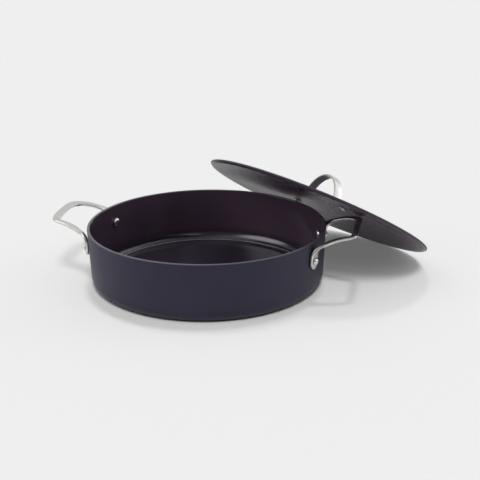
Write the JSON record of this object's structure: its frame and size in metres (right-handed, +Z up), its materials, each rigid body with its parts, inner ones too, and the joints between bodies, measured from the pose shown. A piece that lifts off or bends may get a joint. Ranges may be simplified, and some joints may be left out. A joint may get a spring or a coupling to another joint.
{
  "type": "saute pan with lid",
  "caption": "Wide straight-sided hard-anodised saute pan with riveted steel loop handles, and a domed lid with a strap handle that leans on it and lifts off.",
  "frame": {"origin": "centre of the pan's base, on the surface that the pan stands on", "axes": "+Z up along the pan's axis; +X along the line through the two side handles, towards right_handle, where the lid leans; +Y completes the right-handed frame, away from the picture's viewer"},
  "size_m": [0.4674, 0.3614, 0.1603],
  "materials": {
    "pan_anodised": "matte hard-anodised outside, smooth dark coating inside",
    "lid_anodised": "satin hard-anodised",
    "handle_steel": "satin",
    "rivet_steel": "satin, slightly brighter than the handles"
  },
  "bodies": {
    "pan": {"pan_body": "pan_anodised", "left_handle": "handle_steel", "right_handle": "handle_steel", "left_handle_rivet_a": "rivet_steel", "left_handle_rivet_b": "rivet_steel", "right_handle_rivet_a": "rivet_steel", "right_handle_rivet_b": "rivet_steel"},
    "lid": {"lid": "lid_anodised", "lid_handle": "handle_steel", "lid_handle_rivet_a": "rivet_steel", "lid_handle_rivet_b": "rivet_steel"}
  },
  "joints": [
    {"name": "lid_lift", "type": "slide", "parent": "pan", "child": "lid", "axis": [0, 0, 1], "range_m": [0, 0.16]}
  ]
}
